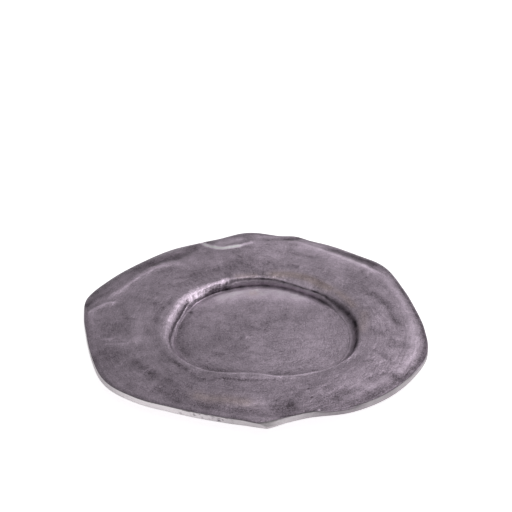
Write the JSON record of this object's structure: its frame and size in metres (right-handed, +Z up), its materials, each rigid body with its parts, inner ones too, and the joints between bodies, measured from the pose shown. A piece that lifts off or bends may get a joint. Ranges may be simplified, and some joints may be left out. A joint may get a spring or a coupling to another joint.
{
  "type": "cast serving plate",
  "caption": "Shallow cast aluminium plate with a hand-formed wavy rim, a round sunken well and felt pads under its foot.",
  "frame": {"origin": "centre of the outline's bounding box, on the table under the pads", "axes": "+Z up; -Y towards the side with the single pointed corner, seen from which the widest corner is on the left (-X)"},
  "size_m": [0.3228, 0.3072, 0.0231],
  "materials": {
    "cast_metal": "sand-cast, hand-burnished, darkened mauve-grey patina, rubbed lighter on high spots, ground edge left bright",
    "felt": "pressed wool felt, matte dark grey, self-adhesive back"
  },
  "bodies": {
    "root": {"cast_plate": "cast_metal", "felt_pad_1": "felt", "felt_pad_2": "felt", "felt_pad_3": "felt", "felt_pad_4": "felt"}
  },
  "joints": []
}
